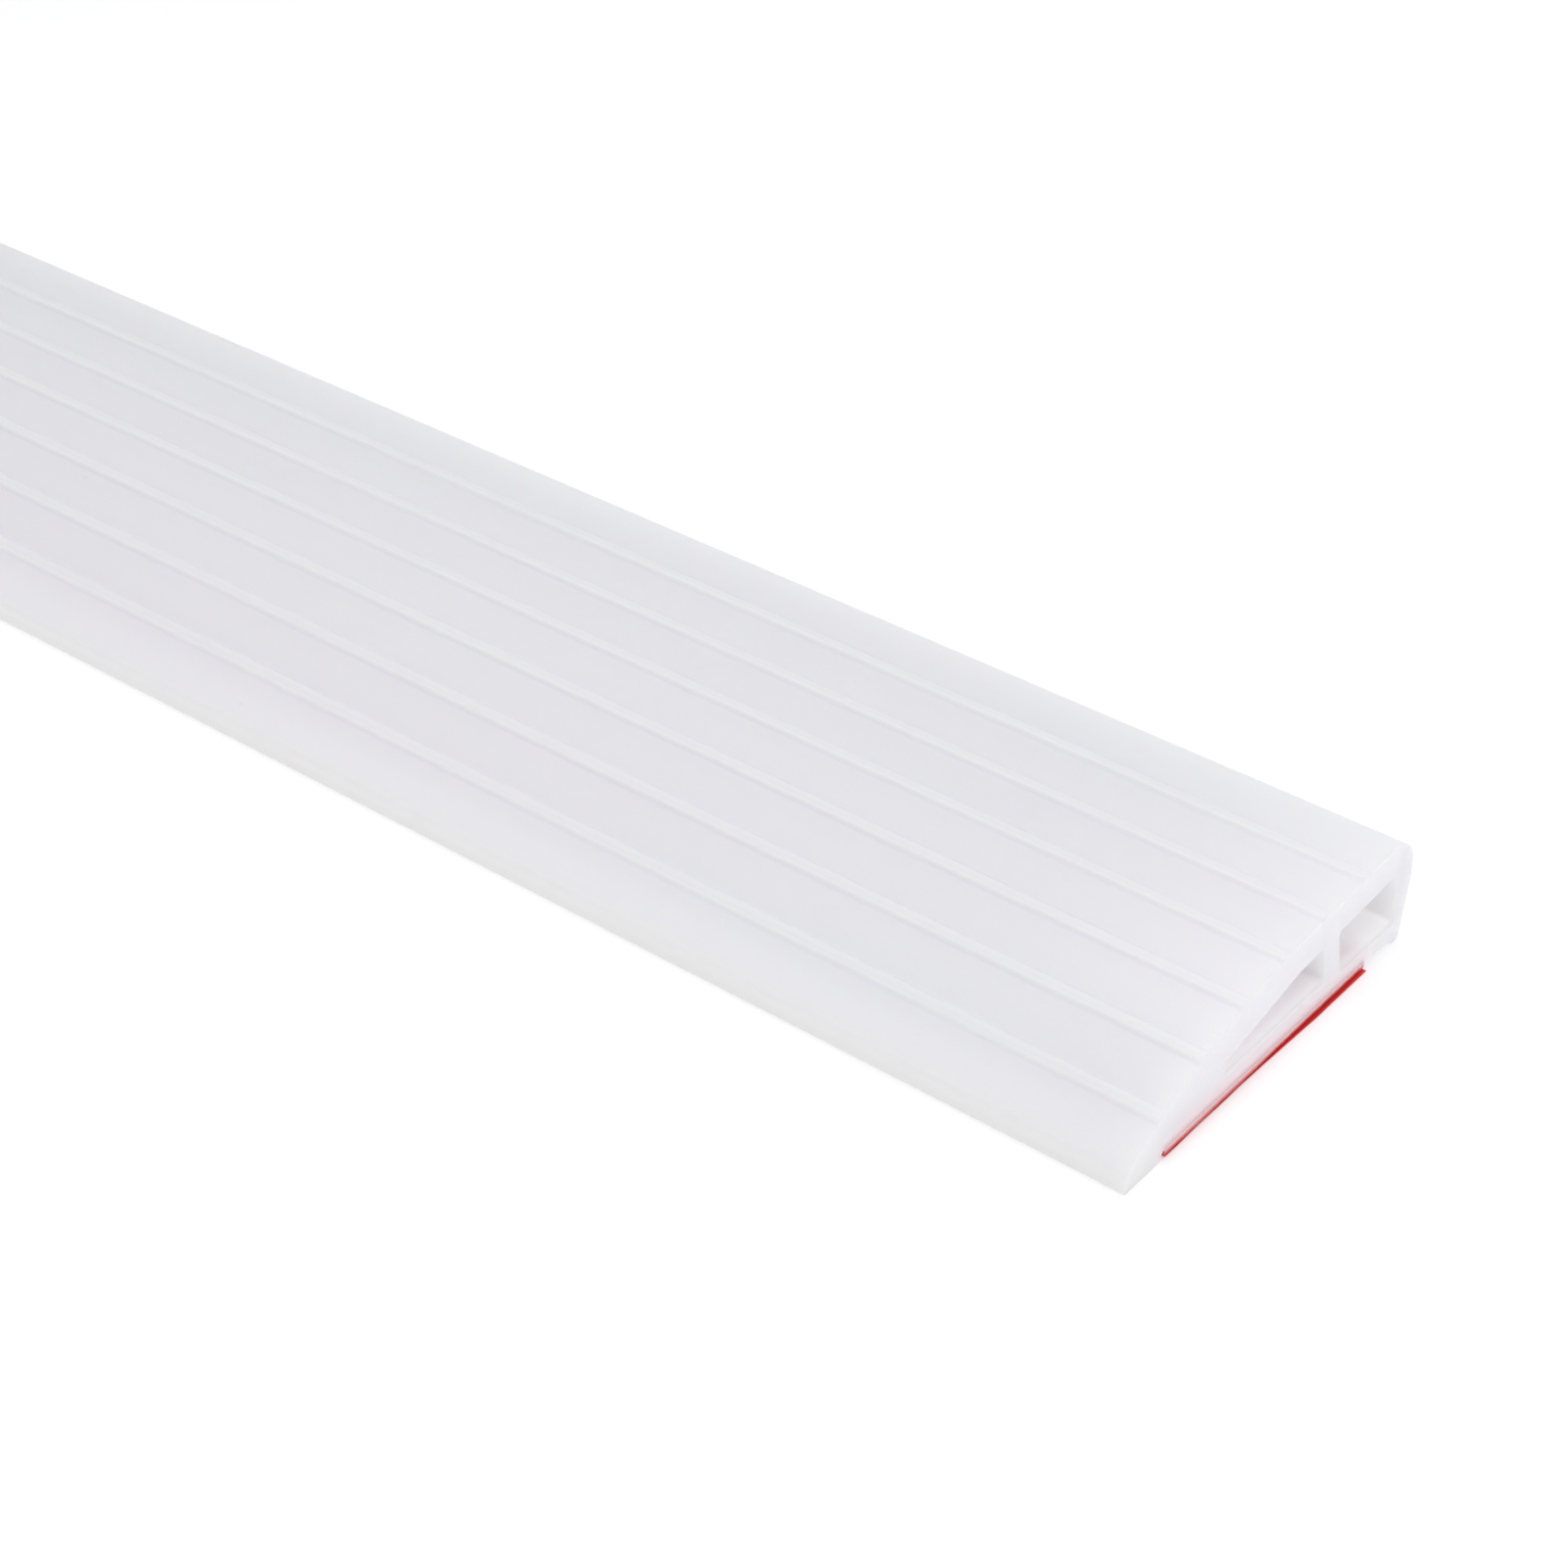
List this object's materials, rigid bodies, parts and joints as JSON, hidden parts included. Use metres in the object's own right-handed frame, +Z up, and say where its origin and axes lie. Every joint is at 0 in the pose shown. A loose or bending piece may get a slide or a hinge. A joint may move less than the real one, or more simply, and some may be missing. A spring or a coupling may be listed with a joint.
{
  "type": "threshold ramp strip",
  "caption": "Hollow white wedge strip with grip ribs that ramps from a floor up to a door threshold, with tape and a red release liner underneath.",
  "frame": {"origin": "on the floor, under the middle of the strip's box", "axes": "+X along the strip, +Y from the thin toe to the tall back, +Z up"},
  "size_m": [1.0012, 0.0618, 0.0157],
  "materials": {
    "white_soft_pvc": "soft extruded PVC, cool white, smooth with a low sheen",
    "clear_adhesive": "clear acrylic adhesive, shows the red film behind it",
    "red_film": "thin glossy red release film"
  },
  "bodies": {
    "strip": {"ramp_strip": "white_soft_pvc", "adhesive_tape": "clear_adhesive"},
    "liner": {"release_liner": "red_film"}
  },
  "joints": [
    {"name": "liner_peel", "type": "slide", "parent": "strip", "child": "liner", "axis": [1, 0, 0], "range_m": [0, 1]}
  ]
}
